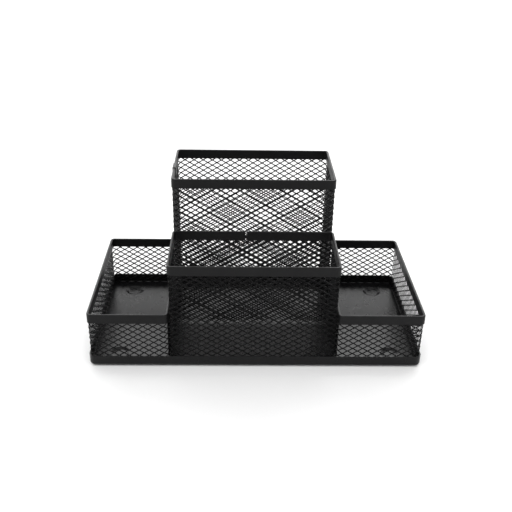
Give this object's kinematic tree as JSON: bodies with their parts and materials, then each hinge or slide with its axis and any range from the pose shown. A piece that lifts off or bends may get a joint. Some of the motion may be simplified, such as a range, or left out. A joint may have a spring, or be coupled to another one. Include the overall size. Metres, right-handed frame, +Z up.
{
  "type": "mesh desk organizer",
  "caption": "Free-standing wire-mesh desk organizer: a front cup and a taller rear cup between two low side trays, all on one shallow pressed pan.",
  "frame": {"origin": "on the table, under the middle of the pan", "axes": "+X to the right along the length, +Y to the back, where the tall cup is, +Z up"},
  "size_m": [0.205, 0.103, 0.1049],
  "materials": {
    "pan_paint": "smooth black paint on pressed sheet steel, glossy satin",
    "mesh_paint": "black powder coat on expanded steel mesh, satin",
    "rim_paint": "black powder coat on folded steel strip, satin"
  },
  "bodies": {
    "root": {"base_pan": "pan_paint", "left_tray_front_wall": "mesh_paint", "left_tray_back_wall": "mesh_paint", "left_tray_left_wall": "mesh_paint", "left_tray_right_wall": "mesh_paint", "left_tray_rim": "rim_paint", "right_tray_front_wall": "mesh_paint", "right_tray_back_wall": "mesh_paint", "right_tray_left_wall": "mesh_paint", "right_tray_right_wall": "mesh_paint", "right_tray_rim": "rim_paint", "front_cup_front_wall": "mesh_paint", "front_cup_back_wall": "mesh_paint", "front_cup_left_wall": "mesh_paint", "front_cup_right_wall": "mesh_paint", "front_cup_rim": "rim_paint", "rear_cup_front_wall": "mesh_paint", "rear_cup_back_wall": "mesh_paint", "rear_cup_left_wall": "mesh_paint", "rear_cup_right_wall": "mesh_paint", "rear_cup_rim": "rim_paint"}
  },
  "joints": []
}
